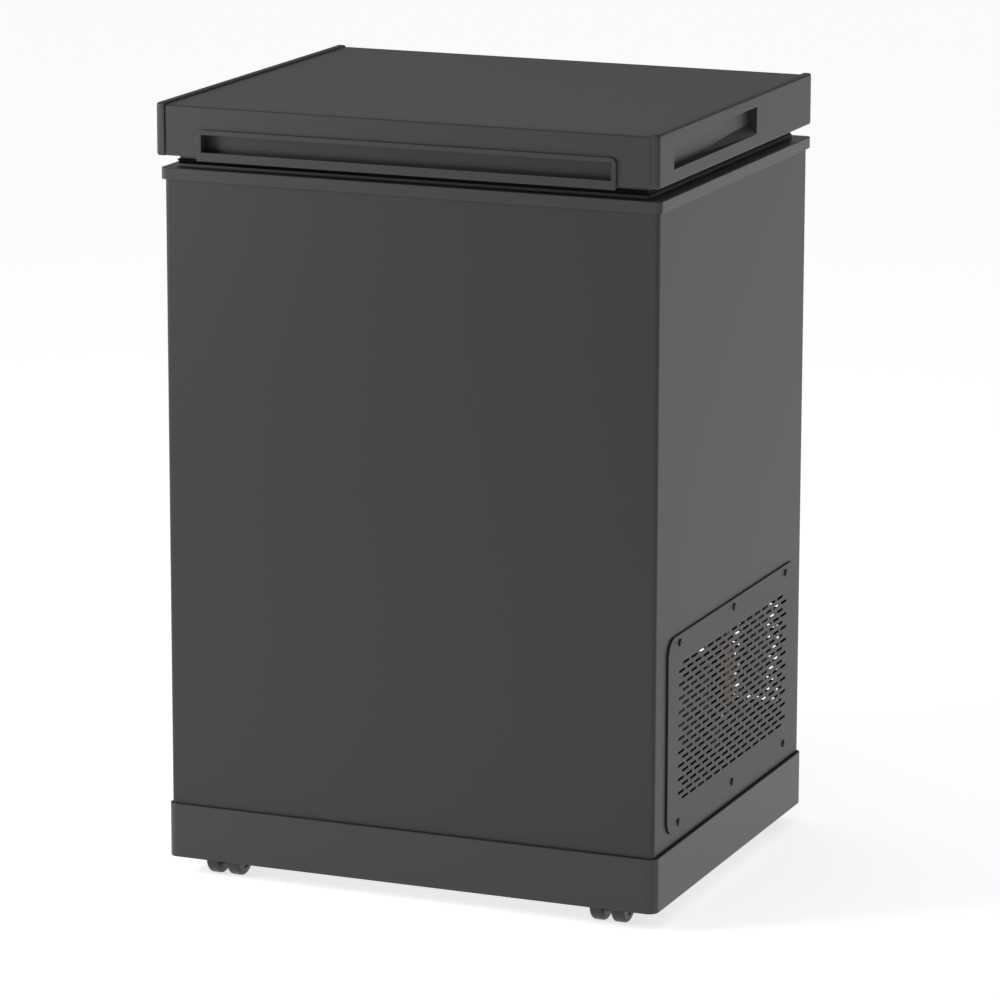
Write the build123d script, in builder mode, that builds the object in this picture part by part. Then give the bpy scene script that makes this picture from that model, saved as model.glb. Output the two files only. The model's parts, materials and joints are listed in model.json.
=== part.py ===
"""Counter-height chest freezer on castors: a foamed steel cabinet with a compressor bay low on its right
side, an aluminium tub, a flat hinged lid with two side grips and a front pull, and four twin-wheel castors.

Frame: +Z up from the floor, the front faces -Y, and the origin is under the middle of the overall box.
"""

import os

from build123d import *

os.makedirs("parts", exist_ok=True)

# Overall sizes
WIDTH = 560.0  # across the plinth and the lid's side rails
DEPTH = 464.0  # plinth, front to back
PLINTH_FOOT = 21.0  # floor to the plinth's lower edge
PLINTH_HEIGHT = 59.0
CABINET_TOP = 758.0  # floor to the top edge of the steel wrap
COLLAR_HEIGHT = 12.5
GASKET_GAP = 13.5  # between collar and lid, filled by the gasket
RAIL_HEIGHT = 56.0

# How far the lid's pull and the hinge covers stand out of the plinth's depth
FRONT_PROUD = 8.0
REAR_PROUD = 24.0

# Walls
STEEL = 1.0
PLASTIC = 2.5
FOAM_WALL = 52.0  # outer face of the wrap to the inside of the tub
FLOOR_FOAM = 46.0
FIT = 0.3  # clearance between pieces that are slid together
SEAT = 1.2  # wrap to plinth, all round

# Heights and planes that follow
COLLAR_TOP = CABINET_TOP + COLLAR_HEIGHT
LID_BOTTOM = COLLAR_TOP + GASKET_GAP
LID_TOP = LID_BOTTOM + RAIL_HEIGHT
MID_Y = (FRONT_PROUD - REAR_PROUD) / 2
PLINTH_FRONT = MID_Y - DEPTH / 2
PLINTH_REAR = MID_Y + DEPTH / 2

# Plinth
PLINTH_RADIUS = 11.0
LEDGE_WIDTH = 12.0
LEDGE_THICK = 3.0

# Castors
WHEEL_DIAMETER = 40.0
WHEEL_WIDTH = 15.0
WHEEL_PITCH = 24.0  # between the middles of a castor's two wheels
CASTOR_HEIGHT = 56.0  # floor to the mounting face
CASTOR_X = 221.0
CASTOR_INSET = 47.0  # plinth face to the stem
CASTOR_TRAIL = 16.0  # stem to axle
PLATE_SIDE = 40.0
PLATE_THICK = 2.5
PLATE_BOLT_PITCH = 28.0
AXLE_RADIUS = 3.0
STEM_RADIUS = 5.0
RUNNING = 0.06  # radial clearance of a shaft in its hole

# Base
RAIL_DEEP = 8.0
RAIL_WIDE = 60.0
RAIL_SHEET = 2.0
PAN_SHEET = 1.5
PAN_Z = CASTOR_HEIGHT + RAIL_DEEP
PAN_TOP = PAN_Z + PAN_SHEET

# Cabinet wrap
WRAP_WIDTH = WIDTH - 2 * (PLASTIC + SEAT)
WRAP_FRONT = PLINTH_FRONT + PLASTIC + SEAT
WRAP_REAR = PLINTH_REAR - PLASTIC - SEAT - STEEL  # the rear panel lies behind it
WRAP_DEPTH = WRAP_REAR - WRAP_FRONT
WRAP_MID = (WRAP_REAR + WRAP_FRONT) / 2
WRAP_RADIUS = 4.5
REAR_FLANGE = 14.0
WRAP_TUCK = 9.0  # how far the wrap reaches up into the collar
WRAP_HEIGHT = CABINET_TOP + WRAP_TUCK - PAN_TOP

# Collar
COLLAR_PROUD = 3.4  # beyond the wrap, all round
COLLAR_WALL = 2.5
COLLAR_LIP = 6.0  # how far its rim laps into the tub

# Grille in the right side
GRILLE_LENGTH = 400.0
GRILLE_TALL = 212.0
GRILLE_RADIUS = 19.0
GRILLE_SHEET = 1.2
PAD_TALL = 0.8  # pressed pads that stand the grille off the wrap
PAD_RADIUS = 6.5
GRILLE_Y = WRAP_FRONT + 235.0
GRILLE_Z = 199.0
WINDOW_MARGIN = 22.0  # flange behind the grille's edge
SLOT_LENGTH = 19.0
SLOT_WIDTH = 3.0
SLOT_PITCH = 24.6
SLOT_ROW = 7.3
SLOT_ROWS = 21
SLOT_COLUMNS = 14
SCREW_PITCH_Y = 166.0
SCREW_PITCH_Z = 194.0
M4 = 2.0
M4_HEAD = 4.0
M4_HEAD_TALL = 1.6

# Tub and its step
TUB_SHEET = 1.0
TUB_RADIUS = 26.0
STEP_LENGTH = 200.0  # along X, from the tub's right wall
BAY_TOP = 318.0
STEP_TOP = BAY_TOP + 50.0
TUB_WIDTH = WRAP_WIDTH - 2 * FOAM_WALL
TUB_DEPTH = WRAP_DEPTH - 2 * FOAM_WALL
TUB_FLOOR = PAN_TOP + FLOOR_FOAM
TUB_TOP = COLLAR_TOP - COLLAR_WALL
FOAM_TOP = TUB_TOP - TUB_SHEET
STEP_X = TUB_WIDTH / 2 - STEP_LENGTH
BAY_X = STEP_X + 50.0  # left face of the compressor bay
LINER_EDGE = 12.0  # flange of the tub on top of the foam

# Evaporator and condenser tubes
TUBE = 6.0
TUBE_GAP = 0.4
EVAPORATOR_TURNS = 6  # an even number brings both ends to the same side of the seam
EVAPORATOR_PITCH = 52.0
EVAPORATOR_TOP = 690.0
CONDENSER_RUNS = 9
CONDENSER_PITCH = 60.0

# Lid
RAIL_THICK = 9.0
RAIL_EDGE = 3.0
RAIL_PROUD = 2.4  # above the top panel
LID_FRONT = PLINTH_FRONT - 7.0
LID_REAR = PLINTH_REAR - 3.0
LID_MID = (LID_FRONT + LID_REAR) / 2
LID_DEPTH = LID_REAR - LID_FRONT
TRIM_SETBACK = 1.6  # front trim behind the rails' front edge
TRIM_THICK = 3.0
TRIM_GROOVE = 1.6
PANEL_SHEET = 1.0
PANEL_TOP = LID_TOP - RAIL_PROUD
GRIP_LENGTH = 249.0
GRIP_TALL = 28.4
GRIP_DEEP = 20.0
GRIP_Y = PLINTH_FRONT + 160.5
GRIP_Z = LID_BOTTOM + 29.0
GRIP_WALL = 2.0
PULL_WIDTH = 467.0
PULL_TALL = 33.0
PULL_BORDER = 5.0
PULL_LIP = 9.2
PULL_DROP = 3.6  # below the front trim
LID_LINER_SHEET = 1.5
LID_LINER_DROP = 18.0  # how far its plug reaches into the tub
PLUG_INSET = 12.0  # plug to tub wall
GASKET_INSET = 15.0
GASKET_WIDE = 17.0
GASKET_PRESS = 0.4  # between the gasket's sole and the collar

# Hinges
HINGE_X = 170.0
HINGE_WIDE = 46.0
PIN_RADIUS = 4.0
PIN_Y = PLINTH_REAR + 12.0
PIN_Z = COLLAR_TOP - 13.0
HINGE_SHEET = 2.5
EAR_RADIUS = 8.0


def finish(part, label):
    """Labels a finished piece and writes it as its own STEP file."""
    part.label = label
    export_step(part, f"parts/{label}.step")


def screw_solids(places, length, head_radius=M4_HEAD, head_tall=M4_HEAD_TALL, shank=M4):
    """Pan-head cross screws as one group; each place's +Z points out of the head."""
    with BuildPart() as screws:
        with Locations(*places):
            Cylinder(head_radius, head_tall, align=(Align.CENTER, Align.CENTER, Align.MIN))
            Cylinder(shank, length, align=(Align.CENTER, Align.CENTER, Align.MAX))
        crowns = [e for e in screws.edges().filter_by(GeomType.CIRCLE) if abs(e.radius - head_radius) < 0.01]
        crowns = [e for e in crowns if min((e.arc_center - p.position).length for p in places) > 0.5 * head_tall]
        fillet(crowns, 0.4 * head_tall)
        with Locations(*[p * Pos(0, 0, head_tall) for p in places]):
            Box(head_radius, 0.24 * head_radius, 0.5 * head_tall, mode=Mode.SUBTRACT)
            Box(0.24 * head_radius, head_radius, 0.5 * head_tall, mode=Mode.SUBTRACT)
    return screws.part


# ---------------------------------------------------------------- plinth and base

with BuildPart() as plinth:
    with BuildSketch(Plane.XY.offset(PLINTH_FOOT)):
        with Locations((0, MID_Y)):
            RectangleRounded(WIDTH, DEPTH, PLINTH_RADIUS)
    extrude(amount=PLINTH_HEIGHT)
    fillet(plinth.faces().sort_by(Axis.Z)[-1].edges(), 1.0)
    with BuildSketch(Plane.XY.offset(PLINTH_FOOT)):
        with Locations((0, MID_Y)):
            RectangleRounded(WIDTH - 2 * PLASTIC, DEPTH - 2 * PLASTIC, PLINTH_RADIUS - PLASTIC)
    extrude(amount=PLINTH_HEIGHT, mode=Mode.SUBTRACT)
    with BuildSketch(Plane.XY.offset(PAN_Z - LEDGE_THICK)):
        with Locations((0, MID_Y)):
            RectangleRounded(WIDTH - PLASTIC, DEPTH - PLASTIC, PLINTH_RADIUS - PLASTIC / 2)
            RectangleRounded(
                WIDTH - 2 * (PLASTIC + LEDGE_WIDTH), DEPTH - 2 * (PLASTIC + LEDGE_WIDTH), 3, mode=Mode.SUBTRACT
            )
    extrude(amount=LEDGE_THICK)
finish(plinth.part, "plinth")

PAN_WIDTH = WRAP_WIDTH
PAN_DEPTH = WRAP_DEPTH
CASTOR_FRONT_Y = PLINTH_FRONT + CASTOR_INSET
CASTOR_REAR_Y = PLINTH_REAR - CASTOR_INSET
castor_spots = {
    "front_left": (-CASTOR_X, CASTOR_FRONT_Y),
    "front_right": (CASTOR_X, CASTOR_FRONT_Y),
    "rear_left": (-CASTOR_X, CASTOR_REAR_Y),
    "rear_right": (CASTOR_X, CASTOR_REAR_Y),
}
compressor_y = MID_Y + 30.0
compressor_x = (BAY_X + WRAP_WIDTH / 2) / 2 + 4
COMPRESSOR_FEET_X = 84.0
COMPRESSOR_FEET_Y = 150.0
FOOT_BOLT = 3.0
foot_spots = [
    (compressor_x + sx * COMPRESSOR_FEET_X / 2, compressor_y + sy * COMPRESSOR_FEET_Y / 2)
    for sx in (-1, 1)
    for sy in (-1, 1)
]
DRAIN_X = -60.0
DRAIN_Y = MID_Y
DRAIN_RADIUS = 9.0
DRAIN_WALL = 1.5

with BuildPart() as base_pan:
    with BuildSketch(Plane.XY.offset(PAN_Z)):
        with Locations((0, WRAP_MID)):
            RectangleRounded(PAN_WIDTH, PAN_DEPTH, WRAP_RADIUS)
        with Locations(*foot_spots):
            Circle(FOOT_BOLT + 0.25, mode=Mode.SUBTRACT)
        with Locations((DRAIN_X, DRAIN_Y)):
            Circle(DRAIN_RADIUS + DRAIN_WALL + FIT, mode=Mode.SUBTRACT)
    extrude(amount=PAN_SHEET)
finish(base_pan.part, "base_pan")

RAIL_SPAN = WIDTH - 2 * (PLASTIC + LEDGE_WIDTH) - 4
bolt_offsets = [(sx * PLATE_BOLT_PITCH / 2, sy * PLATE_BOLT_PITCH / 2) for sx in (-1, 1) for sy in (-1, 1)]
CASTOR_BOLT = 2.5
with BuildPart() as base_rails:
    for rail_y in (CASTOR_FRONT_Y, CASTOR_REAR_Y):
        with BuildSketch(Plane.YZ.offset(-RAIL_SPAN / 2)):
            with Locations((rail_y, CASTOR_HEIGHT + RAIL_DEEP / 2)):
                Rectangle(RAIL_WIDE, RAIL_DEEP)
            with Locations((rail_y, CASTOR_HEIGHT + RAIL_DEEP / 2 + RAIL_SHEET)):
                Rectangle(RAIL_WIDE - 2 * RAIL_SHEET, RAIL_DEEP, mode=Mode.SUBTRACT)
        extrude(amount=RAIL_SPAN)
    with Locations(*[(x + dx, y + dy, CASTOR_HEIGHT) for x, y in castor_spots.values() for dx, dy in bolt_offsets]):
        Cylinder(CASTOR_BOLT + 0.2, 4 * RAIL_SHEET, mode=Mode.SUBTRACT)
finish(base_rails.part, "base_rails")


# ---------------------------------------------------------------- cabinet walls

def pipe(points, radii, diameter):
    """A tube's solid along straight runs joined by tangent arcs."""
    with BuildPart() as tube:
        with BuildLine() as route:
            FilletPolyline(*points, radius=radii)
        with BuildSketch(Plane(origin=route.line @ 0, z_dir=route.line % 0)):
            Circle(diameter / 2)
        sweep()
    return tube.part


def stepped_block(grow):
    """The tub's inside with its step over the compressor bay, grown outwards all round."""
    with BuildPart() as block:
        with BuildSketch(Plane.XY.offset(TUB_FLOOR - grow)):
            with Locations((0, WRAP_MID)):
                RectangleRounded(TUB_WIDTH + 2 * grow, TUB_DEPTH + 2 * grow, TUB_RADIUS + grow)
        extrude(amount=TUB_TOP - TUB_FLOOR + grow)
        with BuildSketch(Plane.XY.offset(TUB_FLOOR - grow)):
            with Locations((STEP_X + grow, WRAP_MID)):
                Rectangle(TUB_WIDTH, 2 * TUB_DEPTH, align=(Align.MIN, Align.CENTER))
        extrude(amount=STEP_TOP - TUB_FLOOR, mode=Mode.SUBTRACT)
    return block.part


REAR_SCREW_X = WRAP_WIDTH / 2 - REAR_FLANGE / 2
rear_screw_at = [
    (side * REAR_SCREW_X, PAN_TOP + 20 + row * (WRAP_HEIGHT - 60) / 4) for side in (-1, 1) for row in range(5)
]
rear_out = Plane(origin=(0, WRAP_REAR + STEEL, 0), x_dir=(-1, 0, 0), z_dir=(0, 1, 0))
SCREW_LENGTH = 10.0

with BuildPart() as outer_cabinet:
    with BuildSketch(Plane.XY.offset(PAN_TOP)):
        with Locations((0, WRAP_MID)):
            RectangleRounded(WRAP_WIDTH, WRAP_DEPTH, WRAP_RADIUS)
            RectangleRounded(
                WRAP_WIDTH - 2 * STEEL, WRAP_DEPTH - 2 * STEEL, WRAP_RADIUS - STEEL, mode=Mode.SUBTRACT
            )
        with Locations((0, WRAP_REAR)):
            Rectangle(WRAP_WIDTH - 2 * REAR_FLANGE, 4 * STEEL, mode=Mode.SUBTRACT)
    extrude(amount=WRAP_HEIGHT)
    window = Plane(origin=(WRAP_WIDTH / 2, GRILLE_Y, GRILLE_Z), x_dir=(0, 1, 0), z_dir=(1, 0, 0))
    grille_screws_at = [
        (column * SCREW_PITCH_Y, row * SCREW_PITCH_Z / 2) for column in (-1, 0, 1) for row in (-1, 1)
    ]
    with BuildSketch(window):
        with Locations(*grille_screws_at):
            Circle(PAD_RADIUS)
    extrude(amount=PAD_TALL)
    with BuildSketch(window.offset(-2 * STEEL)):
        RectangleRounded(GRILLE_LENGTH - 2 * WINDOW_MARGIN, GRILLE_TALL - 2 * WINDOW_MARGIN, 8)
        with Locations(*grille_screws_at):
            Circle(M4 + FIT / 2)
    extrude(amount=4 * STEEL, mode=Mode.SUBTRACT)
    with BuildSketch(rear_out):
        with Locations(*[(-x, z) for x, z in rear_screw_at]):
            Circle(M4 + FIT / 2)
    extrude(amount=-4 * STEEL, mode=Mode.SUBTRACT)
finish(outer_cabinet.part, "outer_cabinet")

GLAND_X = WRAP_WIDTH / 2 - 90
GLAND_Z = PAN_TOP + 45
GLAND_RADIUS = 8.0
DIAL_X = BAY_X + 50.0
DIAL_Z = BAY_TOP - 24.0
DIAL_BUSH = 6.0
LOUVRE_LENGTH = 70.0
LOUVRE_WIDTH = 4.0
HINGE_BOLT_Z = (CABINET_TOP - 22.0, CABINET_TOP - 54.0)
hinge_bolt_at = [
    (side * HINGE_X + dx, z) for side in (-1, 1) for z in HINGE_BOLT_Z for dx in (-HINGE_WIDE / 3, HINGE_WIDE / 3)
]
with BuildPart() as rear_panel:
    with BuildSketch(Plane(origin=(0, WRAP_REAR, 0), x_dir=(-1, 0, 0), z_dir=(0, 1, 0))):
        with Locations((0, PAN_TOP)):
            Rectangle(WRAP_WIDTH - 2 * WRAP_RADIUS, WRAP_HEIGHT, align=(Align.CENTER, Align.MIN))
        with Locations((-GLAND_X, GLAND_Z)):
            Circle(GLAND_RADIUS + FIT / 2, mode=Mode.SUBTRACT)
        with Locations(*[(-x, z) for x, z in rear_screw_at + hinge_bolt_at]):
            Circle(M4 + FIT / 2, mode=Mode.SUBTRACT)
        with Locations((-DIAL_X, DIAL_Z)):
            Circle(DIAL_BUSH + FIT, mode=Mode.SUBTRACT)
        with Locations((-(BAY_X + WRAP_WIDTH / 2) / 2, (PAN_TOP + BAY_TOP) / 2 + 10)):
            with GridLocations(LOUVRE_LENGTH + 14, 3 * LOUVRE_WIDTH, 2, 12):
                SlotOverall(LOUVRE_LENGTH, LOUVRE_WIDTH, mode=Mode.SUBTRACT)
    extrude(amount=STEEL)
finish(rear_panel.part, "rear_panel")

with BuildPart() as inner_tub:
    add(stepped_block(TUB_SHEET))
    with BuildSketch(Plane.XY.offset(FOAM_TOP)):
        with Locations((0, WRAP_MID)):
            RectangleRounded(TUB_WIDTH + 2 * LINER_EDGE, TUB_DEPTH + 2 * LINER_EDGE, TUB_RADIUS + LINER_EDGE)
    extrude(amount=TUB_SHEET)
    add(stepped_block(0), mode=Mode.SUBTRACT)
    with Locations((DRAIN_X, DRAIN_Y, TUB_FLOOR)):
        Cylinder(DRAIN_RADIUS + DRAIN_WALL + FIT, 6 * TUB_SHEET, mode=Mode.SUBTRACT)
finish(inner_tub.part, "inner_tub")

COLLAR_WIDTH = WRAP_WIDTH + 2 * COLLAR_PROUD
COLLAR_DEPTH = WRAP_DEPTH + STEEL + 2 * COLLAR_PROUD
COLLAR_MID = WRAP_MID + STEEL / 2
with BuildPart() as top_collar:
    with BuildSketch(Plane.XY.offset(CABINET_TOP)):
        with Locations((0, COLLAR_MID)):
            RectangleRounded(COLLAR_WIDTH, COLLAR_DEPTH, WRAP_RADIUS + 1)
    extrude(amount=COLLAR_HEIGHT)
    fillet(top_collar.faces().sort_by(Axis.Z)[-1].edges(), 1.0)
    fillet(top_collar.faces().sort_by(Axis.Z)[0].edges(), 0.6)
    with BuildSketch(Plane.XY.offset(CABINET_TOP)):
        with Locations((0, COLLAR_MID)):
            RectangleRounded(WRAP_WIDTH + FIT, WRAP_DEPTH + STEEL + FIT, WRAP_RADIUS)
    extrude(amount=COLLAR_HEIGHT - COLLAR_WALL, mode=Mode.SUBTRACT)
    with BuildSketch(Plane.XY.offset(TUB_TOP - COLLAR_LIP)):
        with Locations((0, WRAP_MID)):
            RectangleRounded(TUB_WIDTH - FIT, TUB_DEPTH - FIT, TUB_RADIUS)
    extrude(amount=COLLAR_LIP)
    with BuildSketch(Plane.XY.offset(CABINET_TOP)):
        with Locations((0, WRAP_MID)):
            RectangleRounded(TUB_WIDTH - 2 * COLLAR_WALL, TUB_DEPTH - 2 * COLLAR_WALL, TUB_RADIUS - COLLAR_WALL)
    extrude(amount=2 * COLLAR_HEIGHT, mode=Mode.SUBTRACT)
finish(top_collar.part, "top_collar")

# ---------------------------------------------------------------- tubes in the foam, and the foam

LAID = TUBE / 2 + TUBE_GAP  # a tube's middle from the sheet that it lies on
CHANNEL = TUBE + 2 * TUBE_GAP
wrap_x = TUB_WIDTH / 2 + TUB_SHEET + LAID
wrap_rear = WRAP_MID + TUB_DEPTH / 2 + TUB_SHEET + LAID
wrap_front = WRAP_MID - TUB_DEPTH / 2 - TUB_SHEET - LAID
HAIRPIN_X = 40.0
HAIRPIN_RADIUS = 18.0
WRAP_BEND = TUB_RADIUS + TUB_SHEET + LAID
EVAPORATOR_EXIT_X = BAY_X + 60.0
evaporator_levels = [EVAPORATOR_TOP - turn * EVAPORATOR_PITCH for turn in range(EVAPORATOR_TURNS)]


def evaporator_route():
    """Points and bend radii of the tube that wraps the tub back and forth from a seam on the rear wall."""
    points, radii = [], []
    for turn, level in enumerate(evaporator_levels):
        way = 1 if turn % 2 == 0 else -1
        last = turn == EVAPORATOR_TURNS - 1
        end_x = EVAPORATOR_EXIT_X if last else -way * HAIRPIN_X
        points += [
            (way * HAIRPIN_X, wrap_rear, level),
            (way * wrap_x, wrap_rear, level),
            (way * wrap_x, wrap_front, level),
            (-way * wrap_x, wrap_front, level),
            (-way * wrap_x, wrap_rear, level),
            (end_x, wrap_rear, level),
        ]
        radii += [HAIRPIN_RADIUS] + 4 * [WRAP_BEND] + [HAIRPIN_RADIUS]
    points.append((points[-1][0], wrap_rear, BAY_TOP - 20))
    return points, radii[1:]


evaporator_points, evaporator_radii = evaporator_route()
evaporator = pipe(evaporator_points, evaporator_radii, TUBE)
finish(evaporator, "evaporator_tube")

condenser_x = -WRAP_WIDTH / 2 + STEEL + LAID
condenser_front = WRAP_FRONT + 40
condenser_back = WRAP_REAR - 30
condenser_rear = WRAP_REAR - STEEL - LAID
CONDENSER_LOW = PAN_TOP + 60
condenser_levels = [CONDENSER_LOW + run * CONDENSER_PITCH for run in range(CONDENSER_RUNS)]


def condenser_route():
    """Points of the serpentine inside the left wall, then along the rear wall into the compressor bay."""
    points = [(condenser_x, condenser_front, condenser_levels[-1])]
    for run, level in enumerate(reversed(condenser_levels)):
        near, far = (condenser_front, condenser_back) if run % 2 == 0 else (condenser_back, condenser_front)
        if run:
            points.append((condenser_x, near, level))
        points.append((condenser_x, far, level))
    points[-1] = (condenser_x, condenser_rear, condenser_levels[0])
    points.append((BAY_X + 30, condenser_rear, condenser_levels[0]))
    return points


condenser_points = condenser_route()
condenser = pipe(condenser_points, (len(condenser_points) - 2) * [HAIRPIN_RADIUS], TUBE)
finish(condenser, "condenser_tube")

with BuildPart() as foam:
    with BuildSketch(Plane.XY.offset(PAN_TOP)):
        with Locations((0, WRAP_MID)):
            RectangleRounded(WRAP_WIDTH - 2 * STEEL, WRAP_DEPTH - 2 * STEEL, WRAP_RADIUS - STEEL)
    extrude(amount=FOAM_TOP - PAN_TOP)
    add(stepped_block(TUB_SHEET), mode=Mode.SUBTRACT)
    with BuildSketch(Plane.XY.offset(PAN_TOP)):
        with Locations((BAY_X, WRAP_MID)):
            Rectangle(WRAP_WIDTH, 2 * WRAP_DEPTH, align=(Align.MIN, Align.CENTER))
    extrude(amount=BAY_TOP - PAN_TOP, mode=Mode.SUBTRACT)
    for level in evaporator_levels:
        with BuildSketch(Plane.XY.offset(level - CHANNEL / 2)):
            with Locations((0, WRAP_MID)):
                RectangleRounded(
                    2 * (wrap_x + CHANNEL / 2), wrap_rear - wrap_front + CHANNEL, WRAP_BEND + CHANNEL / 2
                )
        extrude(amount=CHANNEL, mode=Mode.SUBTRACT)
    seam_tall = evaporator_levels[0] - evaporator_levels[-1] + CHANNEL
    with Locations((0, wrap_rear, (evaporator_levels[0] + evaporator_levels[-1]) / 2)):
        Box(2 * (HAIRPIN_X + HAIRPIN_RADIUS + CHANNEL), CHANNEL, seam_tall, mode=Mode.SUBTRACT)
    with Locations((EVAPORATOR_EXIT_X, wrap_rear, (BAY_TOP + evaporator_levels[-1]) / 2)):
        Box(
            2 * (HAIRPIN_RADIUS + CHANNEL), CHANNEL, evaporator_levels[-1] - BAY_TOP + CHANNEL, mode=Mode.SUBTRACT
        )
    channel_mid = (condenser_levels[0] + condenser_levels[-1]) / 2
    with Locations((condenser_x, (condenser_front + condenser_back) / 2, channel_mid)):
        Box(
            CHANNEL,
            condenser_back - condenser_front + CHANNEL,
            condenser_levels[-1] - condenser_levels[0] + CHANNEL,
            mode=Mode.SUBTRACT,
        )
    corner = HAIRPIN_RADIUS + CHANNEL
    with Locations((condenser_x - CHANNEL / 2, condenser_rear + CHANNEL / 2, condenser_levels[0])):
        Box(corner, WRAP_REAR - condenser_back + corner, CHANNEL, align=(Align.MIN, Align.MAX, Align.CENTER),
            mode=Mode.SUBTRACT)
    with Locations((condenser_x, condenser_rear, condenser_levels[0])):
        Box(BAY_X - condenser_x + 1, CHANNEL, CHANNEL, align=(Align.MIN, Align.CENTER, Align.CENTER),
            mode=Mode.SUBTRACT)
    with Locations((DRAIN_X, DRAIN_Y, TUB_FLOOR)):
        Cylinder(DRAIN_RADIUS + DRAIN_WALL + FIT, 3 * FLOOR_FOAM, mode=Mode.SUBTRACT)
    with BuildSketch(rear_out):
        with Locations(*[(-x, z) for x, z in rear_screw_at + hinge_bolt_at]):
            Circle(M4 + FIT / 2)
    extrude(amount=-4 * SCREW_LENGTH, mode=Mode.SUBTRACT)
finish(foam.part, "cabinet_foam")

# ---------------------------------------------------------------- drain

DRAIN_FLANGE = 4.0
DRAIN_BOTTOM = PAN_Z - 6.0
with BuildPart() as drain_tube:
    with Locations((DRAIN_X, DRAIN_Y, DRAIN_BOTTOM)):
        Cylinder(DRAIN_RADIUS + DRAIN_WALL, TUB_FLOOR - DRAIN_BOTTOM, align=(Align.CENTER, Align.CENTER, Align.MIN))
    with Locations((DRAIN_X, DRAIN_Y, TUB_FLOOR)):
        Cylinder(DRAIN_RADIUS + DRAIN_FLANGE, 1.5, align=(Align.CENTER, Align.CENTER, Align.MIN))
    with Locations((DRAIN_X, DRAIN_Y, DRAIN_BOTTOM)):
        Cylinder(DRAIN_RADIUS, 2 * TUB_FLOOR, mode=Mode.SUBTRACT)
finish(drain_tube.part, "drain_tube")

PLUG_LENGTH = 16.0
PLUG_HEAD = 4.0
plug_z = TUB_FLOOR + 1.5 + 0.2
with BuildPart() as drain_plug:
    with Locations((DRAIN_X, DRAIN_Y, plug_z)):
        Cylinder(DRAIN_RADIUS - FIT, PLUG_LENGTH, align=(Align.CENTER, Align.CENTER, Align.MAX))
        Cylinder(DRAIN_RADIUS + DRAIN_FLANGE, PLUG_HEAD, align=(Align.CENTER, Align.CENTER, Align.MIN))
        with Locations((0, 0, PLUG_HEAD)):
            Box(2 * DRAIN_RADIUS, 3.0, 7.0, align=(Align.CENTER, Align.CENTER, Align.MIN))
    fillet(drain_plug.faces().sort_by(Axis.Z)[-1].edges(), 1.2)
finish(drain_plug.part, "drain_plug")

# ---------------------------------------------------------------- compressor bay

SHELL_RADIUS = 60.0
SHELL_TALL = 150.0
SHELL_DOME = 34.0
FOOT_TALL = 14.0  # rubber foot under the compressor's base
FOOT_RADIUS = 12.0
BASE_SHEET = 3.0
STUB = 12.0
SUCTION_Z = 160.0
base_z = PAN_TOP + FOOT_TALL
shell_z = base_z + BASE_SHEET + 6.0
discharge_x = compressor_x - 18.0
discharge_z = condenser_levels[0]
stub_end = compressor_y + SHELL_RADIUS + STUB

with BuildPart() as compressor:
    with BuildSketch(Plane.XY.offset(shell_z)):
        with Locations((compressor_x, compressor_y)):
            Circle(SHELL_RADIUS)
    extrude(amount=SHELL_TALL)
    fillet(compressor.edges().filter_by(GeomType.CIRCLE), SHELL_DOME)
    with Locations((compressor_x, compressor_y, shell_z + 0.55 * SHELL_TALL)):
        Cylinder(SHELL_RADIUS + 3, 4)
    with BuildSketch(Plane.XY.offset(base_z)):
        with Locations((compressor_x, compressor_y)):
            RectangleRounded(COMPRESSOR_FEET_X + 26, COMPRESSOR_FEET_Y + 26, 13)
        with Locations(*foot_spots):
            Circle(FOOT_BOLT + 2.4, mode=Mode.SUBTRACT)
    extrude(amount=BASE_SHEET)
    with Locations((compressor_x, compressor_y, base_z + BASE_SHEET)):
        Cylinder(34, 20, align=(Align.CENTER, Align.CENTER, Align.MIN))
    for stub_x, stub_z in ((compressor_x, SUCTION_Z), (discharge_x, discharge_z)):
        with BuildSketch(Plane(origin=(stub_x, compressor_y, stub_z), z_dir=(0, 1, 0))):
            Circle(TUBE / 2 + 1.5)
        extrude(amount=SHELL_RADIUS + STUB)
finish(compressor.part, "compressor")

with BuildPart() as compressor_feet:
    with Locations(*[(x, y, PAN_TOP) for x, y in foot_spots]):
        Cylinder(FOOT_RADIUS, FOOT_TALL, align=(Align.CENTER, Align.CENTER, Align.MIN))
    fillet(compressor_feet.edges().filter_by(GeomType.CIRCLE), 2)
    with Locations(*[(x, y, base_z) for x, y in foot_spots]):
        Cylinder(FOOT_BOLT + 2, BASE_SHEET + 1, align=(Align.CENTER, Align.CENTER, Align.MIN))
    with Locations(*[(x, y, PAN_TOP) for x, y in foot_spots]):
        Cylinder(FOOT_BOLT + 0.2, 3 * FOOT_TALL, mode=Mode.SUBTRACT)
finish(compressor_feet.part, "compressor_feet")

with BuildPart() as compressor_bolts:
    with Locations(*[(x, y, base_z + BASE_SHEET + 1) for x, y in foot_spots]):
        Cylinder(FOOT_BOLT, FOOT_TALL + BASE_SHEET + 4, align=(Align.CENTER, Align.CENTER, Align.MAX))
        Cylinder(2.4 * FOOT_BOLT, 1.2, align=(Align.CENTER, Align.CENTER, Align.MIN))
    with BuildSketch(Plane.XY.offset(base_z + BASE_SHEET + 2.2)):
        with Locations(*foot_spots):
            RegularPolygon(1.7 * FOOT_BOLT, 6)
    extrude(amount=4)
finish(compressor_bolts.part, "compressor_bolts")

BEND = 14.0
suction = pipe(
    [
        (EVAPORATOR_EXIT_X, wrap_rear, BAY_TOP - 20),
        (EVAPORATOR_EXIT_X, wrap_rear, SUCTION_Z),
        (compressor_x, wrap_rear, SUCTION_Z),
        (compressor_x, stub_end, SUCTION_Z),
    ],
    [BEND, BEND],
    TUBE,
)

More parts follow.
